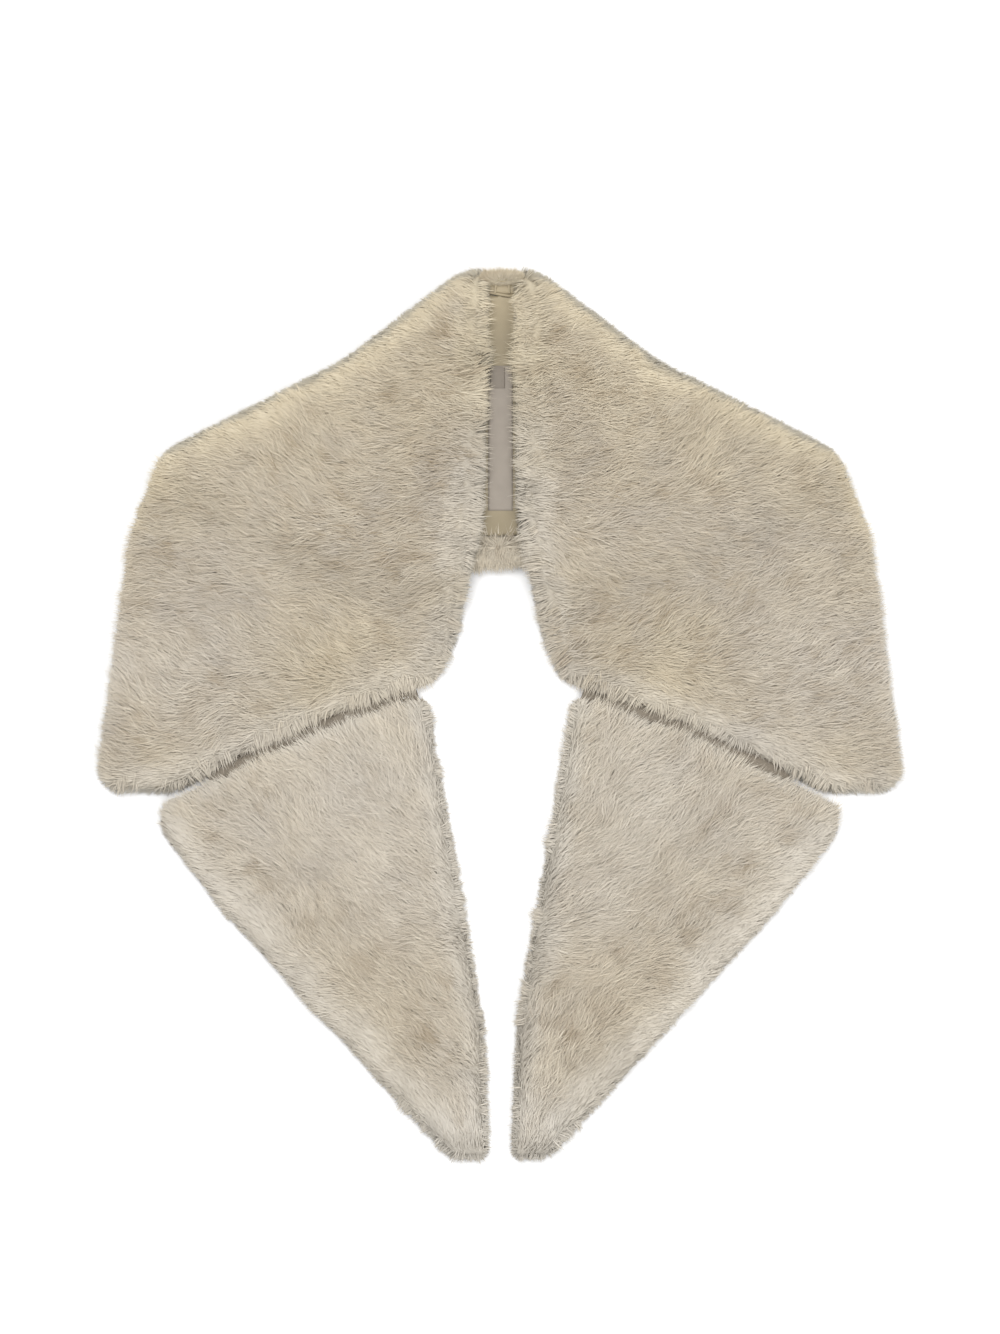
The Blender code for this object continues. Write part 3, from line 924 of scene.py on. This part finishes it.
def wingTint(x, y, calm, seed):
    across = np.abs(x)
    shoulder = smooth((y - 0.19 + 0.45 * across) / 0.12)
    front = smooth((0.11 - across) / 0.08) * smooth((y - 0.14) / 0.05) * smooth((0.33 - y) / 0.05)
    golden = gathered([(0.13, 0.035, 0.060, 0.45), (0.27, -0.04, 0.05, 0.2)], x, y)
    misty = [(0.20, 0.13, 0.060, 0.15), (0.235, 0.025, 0.060, 0.35), (0.300, 0.035, 0.030, 0.30)]
    misty = gathered(misty, x, y)
    curls = [(0.152, 0.060), (0.217, 0.030), (0.036, 0.301), (0.026, 0.274), (0.090, 0.005), (0.120, 0.176)]
    curls = gathered([(*spot, 0.0060, 0.5) for spot in curls], x, y)
    opened = tufts(x, y, seed) * (1 - calm)
    return {
        "warm": np.clip(0.24 + 0.35 * shoulder + golden - 0.3 * misty + 0.6 * calm * shoulder, 0, 1),
        "tanAndShade": 0.05 + 0.16 * front + 0.38 * opened + curls - 0.40 * calm,
        "pale": 0.45 * calm * (1 - 0.75 * shoulder) + misty,
        "shade": 1.015 - 0.04 * front - 0.04 * opened + 0.12 * misty - 0.08 * curls,
    }


def lapelTint(x, y, calm, seed):
    across = np.abs(x)
    lowerMiddle = smooth((-y - 0.11) / 0.10)
    lowerMiddle = lowerMiddle * smooth((0.16 - across) / 0.05) * smooth((across - 0.02) / 0.05)
    misty = [(0.110, -0.065, 0.050, 0.35), (0.20, -0.10, 0.03, 0.2), (0.030, -0.335, 0.030, 0.35)]
    misty = gathered([*misty, (0.075, -0.150, 0.040, 0.30)], x, y)
    curls = [(0.088, -0.193), (0.036, -0.220), (0.052, -0.264), (0.190, -0.125), (0.222, -0.100)]
    curls = gathered([(*spot, 0.0055, 0.9) for spot in curls], x, y)
    opened = tufts(x, y, seed) * (1 - calm)
    return {
        "warm": 0.28 + 0.25 * lowerMiddle - 0.3 * misty,
        "tanAndShade": 0.24 * lowerMiddle + 0.40 * opened + curls - 0.40 * calm,
        "pale": 0.42 * calm + 0.26 + misty,
        "shade": 1.068 - 0.075 * calm - 0.02 * lowerMiddle - 0.04 * opened - 0.08 * curls,
    }


def lowered(upper, pile):
    return lambda x, y: upper(x, y) - pile


# The seam between wing and lapel, in the bottom of its groove: a dark strip painted as shadow for the shade
# down in the groove.
gorgeShadowStrip = {
    "front": (0.0660, 0.0173),
    "outer": (0.2330, -0.0527),
    "half": 0.0075,
    "bottom": 0.0036,
    "top": 0.0048,
}
for side, word in ((-1, "Left"), (1, "Right")):
    node = "wing_" + word.lower()
    corners = wingCorners(side)
    upper = lowered(wingUpper, wing["pile"])
    body = panelShape(corners, wingLower(side), upper, wing["inset"], wing["step"], wing["puff"], 11 + side)
    cloth = addBody("wing" + word, body, side, wing["fur"], wingTint, [underfur, satin], node)

    def wingNap(x, y, side=side):
        return combed(wing["strokes"], side, x, y)

    pile = growFur(
        f"wing{word}Fur", body, side, wing["fur"], wingNap, wingTint, furOnTop, wingPile, 31 + side
    )
    ups = [gorgeShadowStrip["front"], gorge[0][:2], gorgeShadowStrip["outer"]]
    run = np.linspace(ups[0][0], ups[2][0], 40)
    path = np.column_stack((side * run, np.interp(run, [row[0] for row in ups], [row[1] for row in ups])))
    seam = seamStrip(
        f"gorgeShadowStrip{word}",
        path[::side],
        gorgeShadowStrip["half"],
        gorgeShadowStrip["bottom"],
        gorgeShadowStrip["top"],
        grooveShadow,
    )
    areaOf(body["rim"])
    print("wing", word, round(areaOf(body["rim"]), 4))

for side, word in ((-1, "Left"), (1, "Right")):
    node = "lapel_" + word.lower()
    corners = lapelCorners(side)
    upper = level(lay["lapel"] - lapel["pile"])
    lower = level(lapel["bottom"])
    body = panelShape(corners, lower, upper, lapel["inset"], lapel["step"], lapel["puff"], 51 + side)
    cloth = addBody("lapel" + word, body, side, lapel["fur"], lapelTint, [underfur, satin], node)

    def lapelNap(x, y, side=side):
        return combed(lapel["strokes"], side, x, y)

    pile = growFur(
        f"lapel{word}Fur", body, side, lapel["fur"], lapelNap, lapelTint, furOnTop, lapelPile, 71 + side
    )
    areaOf(body["rim"])
    print("lapel", word, round(areaOf(body["rim"]), 4))

# Back panel, fur side down, with its lining, label, tab and loop.
back = {
    "inset": 0.0045,
    "under": 0.0045,
    "pile": 0.0012,
    "step": 0.0070,
    "fur": {
        **wing["fur"],
        "strands": 26000,
        "length": 0.0140,
        "reachOver": evenReach,
        "bands": [(-90, 0.012)],
    },
}


def backTint(x, y, calm, seed):
    same = np.ones(len(x))
    return {"warm": 0.5 * same, "tanAndShade": 0.0 * same, "pale": 0.2 * same, "shade": same}


def backDensity(middles, under):
    hem = -belowHem(middles[:, 0], middles[:, 1])
    atHem = (1 - smooth((hem - 0.016) / 0.006)) * np.where(np.abs(middles[:, 0]) < 0.05, 4.0, 0.6)
    return np.where(under, 0.25, atHem)


def backNap(x, y):  # at the top of the hem the pile lies up, over the lining's edge
    lies = smooth((-belowHem(x, y) - 0.011) / 0.006) * 2 - 1
    return unit(np.column_stack((0.35 * np.sign(x), lies + 0.01)))


def rollNap(x, y):  # up over the neck edge, but down at its lower side
    return unit(np.column_stack((60 * (x - 0.0016), np.clip((y - 0.3478) / 0.0012, -1.0, 1.0))))


def rollTint(x, y, calm, seed):
    same = np.ones(len(x))
    return {"warm": 0.85 * same, "tanAndShade": 0.05 * same, "pale": 0.1 * same, "shade": same}


upper = lowered(backUpper, back["pile"])
body = panelShape(backCorners(), level(back["under"]), upper, back["inset"], back["step"], 0.0, 91)
backCloth = addBody("backPanel", body, 1, back["fur"], backTint, [underfur, underfur], "back_panel")
backFur = growFur("backPanelFur", body, 1, back["fur"], backNap, backTint, backDensity, backPile, 95)
backArea = areaOf(body["rim"])

# The fur rolls over the neck edge between the wings.
neckRoll = {
    "left": -0.0130,
    "right": 0.0162,
    "lowUp": 0.3462,
    "highUp": 0.3528,
    "bottom": 0.0085,
    "top": 0.0190,
    "fur": {
        **wing["fur"],
        "strands": 12000,
        "length": 0.0075,
        "lift": 7.0,
        "lock": 0.0012,
        "pull": 0.0,
        "swirl": 0.4,
        "steepLift": 16.0,
        "bands": [(90, 0.0006)],
        "rimReach": 0.0006,
        "partReach": 0.0006,
        "rimLength": 0.65,
        "reachOver": evenReach,
        "paintedShadeGrey": 0.05,
    },
}
left, right = neckRoll["left"], neckRoll["right"]
limits = [neckRoll[key] for key in ("lowUp", "highUp", "bottom", "top")]
body = beadShape(left, right, *limits)
rollCloth = addMesh("neckRoll", body["points"], body["faces"], [underfur])
# The roll's cloth takes a little painted shade grey all over.
for key, value in {"warm": 0.85, "tanAndShade": 0.0, "pale": 0.1, "shade": 1.0, "paintedShadeGrey": 0.1}.items():
    keepNumbers(rollCloth, key, np.full(len(body["points"]), value))
rollFur = growFur("neckRollFur", body, 1, neckRoll["fur"], rollNap, rollTint, furOnTop, backPile, 93)

# Satin: the lining, its rolled top edge at the neck seam and the facing above it.
body = panelShape(liningCorners(), level(liningBottom), level(liningTop), 0.0, 0.006, 0.0, 97)
lining = addMesh("backLining", body["points"], body["faces"], [satin])
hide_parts("back_lining")

# The neck seam dips to a shallow point, with the facing above it and the folded edge along it.
neckSeam = {
    "up": 0.3385,
    "dip": 0.0028,
    "dipAcross": 0.0072,
    "dipReach": 0.0152,
    "facingGap": 0.0013,
    "facingTop": 0.3475,
    "facing": 0.0008,
    "edge": 0.0011,
}


def facingSeat(x, y):
    return backUpper(x, y) + 0.0006 + 0.0012 * np.exp(-(((y - 0.3395) / 0.0025) ** 2))


across = np.linspace(left, right, 24)
fromDip = np.abs(across - neckSeam["dipAcross"]) / neckSeam["dipReach"]
seamUp = neckSeam["up"] - neckSeam["dip"] * np.clip(1 - fromDip, 0, 1)
share = np.linspace(0.0, 1.0, 12)[:, None]
facingUp = (seamUp + neckSeam["facingGap"]) * (1 - share) + neckSeam["facingTop"] * share
facing = layTape("neckFacing", (across + 0 * share, facingUp), facingSeat, neckSeam["facing"], satin)
dip = np.column_stack((across, seamUp))
edge = neckSeam["edge"]
welt = seamStrip("liningEdge", dip, edge, liningTop + 0.0001, liningTop + edge, satin)
areaOf(body["rim"])

# Care label and size tab, both bare.
tapes = (
    ("care_label", "careLabel", 0.0004, shadedLabelTape, "backLining"),
    ("size_tab", "sizeTab", 0.0002, tabTape, "careLabel"),
)
for node, name, wave, tapeCloth, under in tapes:
    low, high = (np.array(corner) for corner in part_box(node))

    def seat(x, y, low=low, high=high, wave=wave):
        fromEdge = np.minimum(np.minimum(x - low[0], high[0] - x), np.minimum(y - low[1], high[1] - y))
        return low[2] - 0.00025 + wave * (1 + softNoise(x, y, 0.022, 5)) * smooth(fromEdge / 0.004)

    xs, ys = np.linspace(low[0], high[0], 12), np.linspace(low[1], high[1], 60)
    tape = layTape(name, np.meshgrid(xs, ys), seat, 0.00025, tapeCloth)
    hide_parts(node)
loop = bpy.data.objects["hang_loop"]
loop.data.materials.clear()
loop.data.materials.append(loopSatin)
print("back made")
